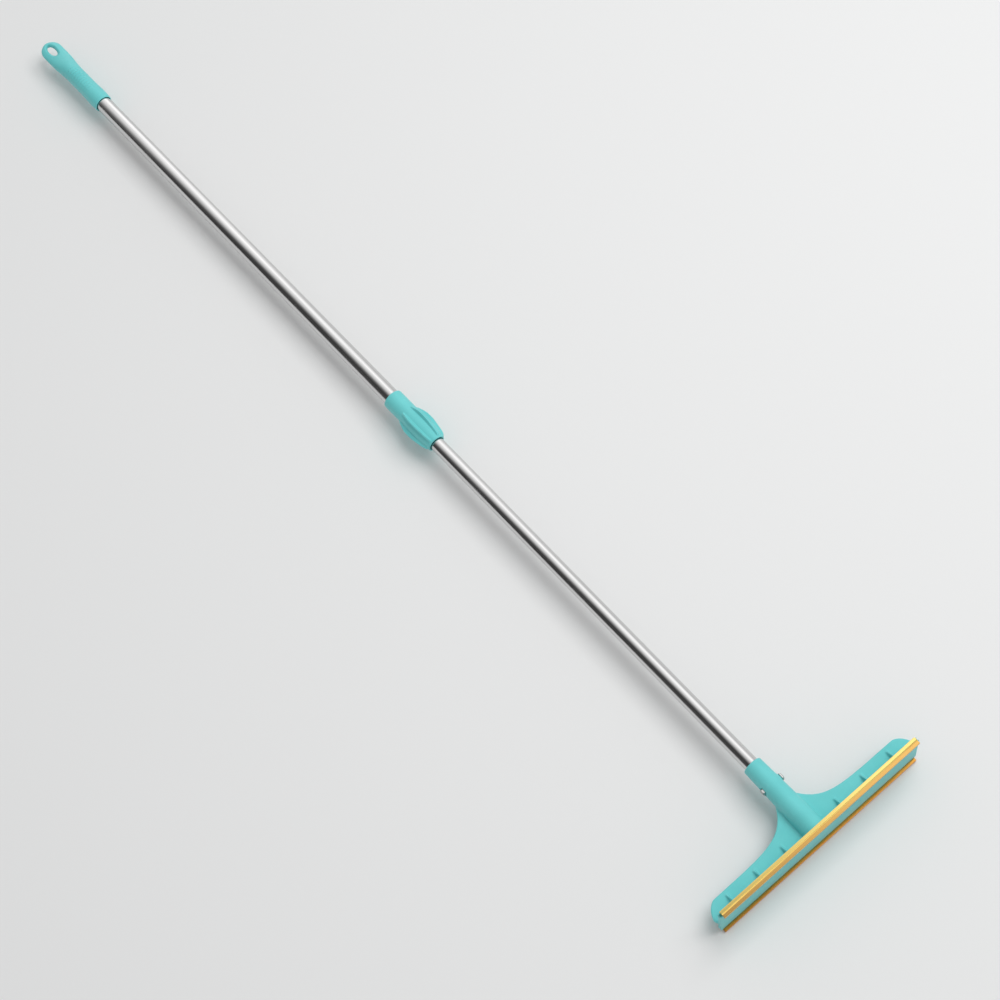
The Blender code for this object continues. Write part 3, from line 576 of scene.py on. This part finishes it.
outline = [(FLANGE_SIDE - 0.001, flange_middle)]
for angle in range(0, 91, 10):
    bend = math.radians(angle)
    inwards = 1 - abs(math.cos(bend)) ** PLATE_CORNER_SHAPE
    back = math.sin(bend) ** PLATE_CORNER_SHAPE
    corner_front = blades + PLATE_CORNER_FRONT
    outline.append((HALF_WIDTH - PLATE_CORNER * inwards, corner_front + (arm - corner_front) * back))
for i in range(17):
    share = 4.6 - 0.3 * i
    outline.append((boss + share * SWEEP_LENGTH, arm + SWEEP_HEIGHT * math.exp(-share)))
deselect()
bpy.ops.mesh.primitive_circle_add(vertices=2 * len(outline), radius=0.1, fill_type="NGON")
plate = bpy.context.object
mirrored = outline + [(-x, y) for x, y in reversed(outline)]
for point, (x, y) in zip(plate.data.vertices, mirrored):
    point.co = (x, y, PLATE_LEVEL - PLATE_HALF)
pick_faces(plate, lambda centre, normal: True)
bpy.ops.mesh.extrude_region_move(TRANSFORM_OT_translate={"value": (0.0, 0.0, 2 * PLATE_HALF)})
bpy.ops.mesh.select_all(action="SELECT")
bpy.ops.mesh.normals_make_consistent(inside=False)
bpy.ops.object.mode_set(mode="OBJECT")

flange = add_block((-FLANGE_SIDE, front, head_low.z), (FLANGE_SIDE, front + FLANGE_DEPTH, head_high.z))
cone = add_rod(SOCKET_FRONT, flange_middle, flange_middle + 0.0001)
grow_along(cone, [
    (mouth - 0.0008, SOCKET_REAR / SOCKET_FRONT, SOCKET_REAR / SOCKET_FRONT),
    (mouth, 1 - 0.0007 / SOCKET_REAR, 1 - 0.0007 / SOCKET_REAR)])
combine(plate, [flange, cone], "UNION")
for side in (-1, 1):
    for i in (1, 2, 3):
        x = side * i * RIB_PITCH
        for way, rise in ((1, RIB_RISE_ABOVE), (-1, RIB_RISE_BELOW)):
            foot = PLATE_LEVEL + way * (PLATE_HALF - 0.0006)
            top = PLATE_LEVEL + way * (PLATE_HALF + rise)
            rear = front + FLANGE_DEPTH
            rib = add_block(
                (x - RIB_HALF, rear - 0.001, min(foot, top)), (x + RIB_HALF, rear, max(foot, top)))
            pick_faces(rib, lambda centre, normal: normal.y > 0.5)
            bpy.ops.mesh.extrude_region_move(TRANSFORM_OT_translate={"value": (0.0, RIB_LENGTH, 0.0)})
            bpy.ops.transform.resize(value=(1.0, 1.0, RIB_TIP), center_override=(x, rear + RIB_LENGTH, foot))
            bpy.ops.object.mode_set(mode="OBJECT")
            combine(plate, [rib], "UNION")
reach = 0.5 * SOCKET_REAR
deselect()
bpy.ops.mesh.primitive_cylinder_add(
    vertices=48, radius=BOLT_PAD_RADIUS, depth=BOLT_PAD_FACE - reach,
    location=((BOLT_PAD_FACE + reach) / 2, BOLT_Y, AXIS.z), rotation=(0.0, math.pi / 2, 0.0))
combine(plate, [settle(bpy.context.object, "seat")], "UNION")
deselect()
bpy.ops.mesh.primitive_cylinder_add(
    vertices=6, radius=POCKET_RADIUS, depth=POCKET_DEPTH,
    location=(-POCKET_MIDDLE, BOLT_Y, AXIS.z), rotation=(0.0, math.pi / 2, 0.0))
pocket = settle(bpy.context.object, "pocket")
combine(plate, [pocket, add_rod(SOCKET_BORE, mouth - SOCKET_DEPTH, mouth + 0.001)], "DIFFERENCE")
for way in (-1, 1):
    edge = AXIS.z + way * (head_high.z - AXIS.z + 0.001)
    floor_z = AXIS.z + way * (head_high.z - AXIS.z - SLOT_DEPTH)
    slot = add_block(
        (-HALF_WIDTH - 0.01, flange_middle - SLOT_HALF, min(edge, floor_z)),
        (HALF_WIDTH + 0.01, flange_middle + SLOT_HALF, max(edge, floor_z)))
    combine(plate, [slot], "DIFFERENCE")
mould(plate, 0.00076, 4)
plate.name = "scraper_head"
coat(plate, plastic("head_teal", TEAL, TEAL_DEEP, TEAL_WORN, 0.42, 0.30, 1400.0, 0.00005))
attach(plate, "head")
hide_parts("head_body")


# Scraping strips: two drawn brass bars, each with a groove between two lips and a
# tongue that slides into the flange's slot. The lips carry painted light and shade.
STRIP_GROOVE = 0.00045
STRIP_GROOVE_DEPTH = 0.0009
TONGUE_HALF = 0.0008
TONGUE_REACH = 0.0029
STRIP_BODY = 0.004
LIP_HALF = 0.0039
LIP_FALL = 0.0007
LIP_BLEND = (0.0006, 0.0002)
ALONG_X = (0.012, 1.0, 1.0)


def lipped_brass(name, rear, front, dark, middle):
    """Brass painted lit on the rear lip and painted in shade on the front one."""
    made = metal(name, rear, dark, 0.22, 0.30, ALONG_X, 0.00001)
    tree = made.node_tree
    finish = tree.nodes["Group"]
    spot = tree.nodes.new("ShaderNodeTexCoord")
    parts = tree.nodes.new("ShaderNodeSeparateXYZ")
    tree.links.new(spot.outputs["Object"], parts.inputs["Vector"])
    share = spread(tree, parts.outputs["Y"], middle - LIP_BLEND[0], middle - LIP_BLEND[1])
    tree.links.new(mix_colour(tree, share, (*front, 1.0), (*rear, 1.0)), finish.inputs["Colour"])
    return made


# Painted light and shade on the strips: the upper strip's rear lip is painted lit and its front lip is
# painted in shade. The lower strip is a shaded copy, painted darker on both lips.
LIT_BRASS = (0.93, 0.74, 0.24)
SHADED_BRASS = (0.72, 0.43, 0.13)
DEEP_SHADED_BRASS = (0.66, 0.31, 0.06)
DULL = (0.52, 0.28, 0.07)
upper_brass = lipped_brass("upper_brass", LIT_BRASS, SHADED_BRASS, DULL, blades)
lower_brass = lipped_brass("lower_brass", SHADED_BRASS, DEEP_SHADED_BRASS, DULL, blades)
for node, way, slot_name, brass in (
        ("upper_strip", 1, "upper_strip_brass", upper_brass),
        ("lower_strip", -1, "lower_strip_brass", lower_brass)):
    low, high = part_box(node)
    outer = high.z if way > 0 else low.z
    seat = outer - way * STRIP_BODY
    strip = add_block((low.x, low.y, min(seat, outer)), (high.x, high.y, max(seat, outer)))
    middle = (low.y + high.y) / 2
    bpy.ops.object.mode_set(mode="EDIT")
    for cut in (
            middle - STRIP_GROOVE, middle + STRIP_GROOVE,
            flange_middle - TONGUE_HALF, flange_middle + TONGUE_HALF):
        bpy.ops.mesh.select_all(action="SELECT")
        bpy.ops.mesh.bisect(plane_co=(0.0, cut, 0.0), plane_no=(0.0, 1.0, 0.0))
    bpy.ops.object.mode_set(mode="OBJECT")
    pick_faces(strip, lambda centre, normal: (
        normal.z * way > 0.5 and abs(centre.y - middle) < STRIP_GROOVE))
    bpy.ops.mesh.extrude_region_move(
        TRANSFORM_OT_translate={"value": (0.0, 0.0, -way * STRIP_GROOVE_DEPTH)})
    bpy.ops.object.mode_set(mode="OBJECT")
    pick_faces(strip, lambda centre, normal: (
        normal.z * way < -0.5 and abs(centre.y - flange_middle) < TONGUE_HALF))
    bpy.ops.mesh.extrude_region_move(TRANSFORM_OT_translate={"value": (0.0, 0.0, -way * TONGUE_REACH)})
    bpy.ops.object.mode_set(mode="OBJECT")
    for point in strip.data.vertices:
        if abs(point.co.z - outer) < 0.00001 and abs(point.co.y - middle) > LIP_HALF:
            point.co.z -= way * LIP_FALL
    edges = strip.modifiers.new("edges", "BEVEL")
    edges.width = 0.0003
    edges.segments = 3
    edges.limit_method = "ANGLE"
    edges.angle_limit = math.radians(35)
    deselect()
    apply_all(strip)
    strip.select_set(True)
    bpy.ops.object.shade_smooth_by_angle(angle=math.radians(30))
    strip.name = node.replace("strip", "blade")
    coat(strip, brass)
    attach(strip, "head")
    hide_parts(node)


# Cross bolt and nut: a zinc-plated pan-head screw through the socket, the tube and
# its insert, pulled up on a hexagon nut let into the socket's other side.
zinc = metal("zinc_plate", (0.66, 0.66, 0.65), (0.50, 0.50, 0.50), 0.28, 0.5, (1.0, 1.0, 1.0), 0.00002)
SHANK = 0.0020
HEAD_RADIUS = (bolt_high.y - bolt_low.y) / 2
HEAD_HEIGHT = 0.0029
HEAD_LINE = (
    (0.0, 1 - 0.0001 / HEAD_RADIUS), (0.0001, 1.0), (0.0009, 1.0), (0.0015, 0.94), (0.0020, 0.82),
    (0.0024, 0.66), (0.0027, 0.46), (0.00285, 0.24), (HEAD_HEIGHT, 0.05))
RECESS_DEPTH = 0.0015
RECESS_LONG = 0.0021
RECESS_SHORT = 0.00055
deselect()
bpy.ops.mesh.primitive_cylinder_add(
    vertices=48, radius=SHANK, depth=bolt_high.x - HEAD_HEIGHT - bolt_low.x,
    location=((bolt_high.x - HEAD_HEIGHT + bolt_low.x) / 2, BOLT_Y, AXIS.z), rotation=(0.0, math.pi / 2, 0.0))
screw = settle(bpy.context.object, "cross_screw")
pick_faces(screw, lambda centre, normal: normal.x > 0.5)
under = bolt_high.x - HEAD_HEIGHT
place = under
radius = SHANK
for out, share in HEAD_LINE:
    wide = share * HEAD_RADIUS
    bpy.ops.mesh.extrude_region_move(TRANSFORM_OT_translate={"value": (under + out - place, 0.0, 0.0)})
    bpy.ops.transform.resize(value=(1.0, wide / radius, wide / radius), center_override=(0.0, BOLT_Y, AXIS.z))
    place = under + out
    radius = wide
bpy.ops.object.mode_set(mode="OBJECT")
for half_y, half_z in ((RECESS_LONG, RECESS_SHORT), (RECESS_SHORT, RECESS_LONG)):
    recess = add_block(
        (bolt_high.x - RECESS_DEPTH, BOLT_Y - half_y, AXIS.z - half_z),
        (bolt_high.x + 0.001, BOLT_Y + half_y, AXIS.z + half_z))
    combine(screw, [recess], "DIFFERENCE")
deselect()
screw.select_set(True)
bpy.context.view_layer.objects.active = screw
bpy.ops.object.shade_smooth_by_angle(angle=math.radians(35))
coat(screw, zinc)
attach(screw, "head")
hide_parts("cross_bolt")

hex_low, hex_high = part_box("hex_nut")
HEX_FLATS_HALF = 0.0035
HEX_RADIUS = HEX_FLATS_HALF / math.cos(math.pi / 6)
deselect()
bpy.ops.mesh.primitive_cylinder_add(
    vertices=6, radius=HEX_RADIUS, depth=hex_high.x - hex_low.x,
    location=((hex_low.x + hex_high.x) / 2, BOLT_Y, AXIS.z), rotation=(0.0, math.pi / 2, 0.0))
hexagon = settle(bpy.context.object, "hexagon_nut")
deselect()
bpy.ops.mesh.primitive_cone_add(
    vertices=48, radius1=HEX_RADIUS + 0.0016, radius2=HEX_RADIUS - 0.0004, depth=hex_high.x - hex_low.x,
    location=((hex_low.x + hex_high.x) / 2, BOLT_Y, AXIS.z), rotation=(0.0, -math.pi / 2, 0.0))
combine(hexagon, [settle(bpy.context.object, "crown")], "INTERSECT")
deselect()
bpy.ops.mesh.primitive_cylinder_add(
    vertices=48, radius=SHANK + 0.0002, depth=0.01,
    location=((hex_low.x + hex_high.x) / 2, BOLT_Y, AXIS.z), rotation=(0.0, math.pi / 2, 0.0))
combine(hexagon, [settle(bpy.context.object, "thread")], "DIFFERENCE")
deselect()
hexagon.select_set(True)
bpy.context.view_layer.objects.active = hexagon
bpy.ops.object.shade_smooth_by_angle(angle=math.radians(25))
coat(hexagon, zinc)
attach(hexagon, "head")
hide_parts("hex_nut")


# Hidden works: the ferrule that the nut screws on, the split clamping bush, and the
# two plugs in the inner tube. Plain mouldings in natural and black plastic.
natural = plastic(
    "natural_plastic", (0.78, 0.78, 0.74), (0.62, 0.62, 0.57), (0.86, 0.86, 0.83), 0.48, 0.2, 1200.0, 0.00004)
black = plastic(
    "black_plastic", (0.030, 0.031, 0.033), (0.018, 0.018, 0.020), (0.09, 0.09, 0.09), 0.46, 0.3,
    1200.0, 0.00004)
for node, made in (
        ("lock_ferrule", natural), ("clamp_bush", natural), ("guide_plug", black), ("tube_insert", black)):
    coat(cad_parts[node], made)


# Floor and light: a pale matt floor that comes up a little towards the grip, a
# large soft box above the tool's right, and a studio that falls off to dark on
# its left, which is what the polished tubes reflect.
deselect()
bpy.ops.mesh.primitive_plane_add(
    size=14.0, location=(0.0, strip_high.y, -0.00005), rotation=(math.radians(0.2), 0.0, 0.0))
floor = bpy.context.object
floor.name = "floor"
paint = bpy.data.materials.new("pale_floor")
paint.use_nodes = True
shader = paint.node_tree.nodes["Principled BSDF"]
shader.inputs["Roughness"].default_value = 0.85
shader.inputs["Specular IOR Level"].default_value = 0.2
shader.inputs["Base Color"].default_value = (0.80, 0.805, 0.805, 1.0)
coat(floor, paint)

sky = bpy.data.worlds.new("studio")
bpy.context.scene.world = sky
sky.use_nodes = True
tree = sky.node_tree
background = tree.nodes["Background"]
look = tree.nodes.new("ShaderNodeTexCoord")
parts = tree.nodes.new("ShaderNodeSeparateXYZ")
tree.links.new(look.outputs["Generated"], parts.inputs["Vector"])
ramp = tree.nodes.new("ShaderNodeValToRGB")
tree.links.new(spread(tree, parts.outputs["X"], -1.0, 1.0), ramp.inputs["Fac"])
STUDIO = (
    (0.00, 0.12), (0.05, 0.06), (0.17, 0.055), (0.29, 0.16), (0.42, 0.55), (0.52, 0.85),
    (0.66, 1.20), (0.80, 1.60), (0.90, 1.20), (0.96, 0.75))
while len(ramp.color_ramp.elements) < len(STUDIO):
    ramp.color_ramp.elements.new(0.5)
for stop, (share, level) in zip(ramp.color_ramp.elements, STUDIO):
    stop.position = share
    stop.color = (level, level, level, 1.0)
path = tree.nodes.new("ShaderNodeLightPath")
AMBIENT = (0.52, 0.52, 0.52, 1.0)
seen = mix_colour(tree, path.outputs["Is Glossy Ray"], AMBIENT, ramp.outputs["Color"])
tree.links.new(seen, background.inputs["Color"])

box_light = bpy.data.lights.new("soft_box", "AREA")
box_light.size = 2.4
box_light.energy = 66.0
lamp = bpy.data.objects.new("soft_box", box_light)
lamp.location = (1.50, -0.45, 2.9)
lamp.rotation_euler = (-lamp.location).to_track_quat("-Z", "Y").to_euler()
lamp.visible_glossy = False
bpy.context.scene.collection.objects.link(lamp)

bpy.context.scene.view_settings.view_transform = "Standard"
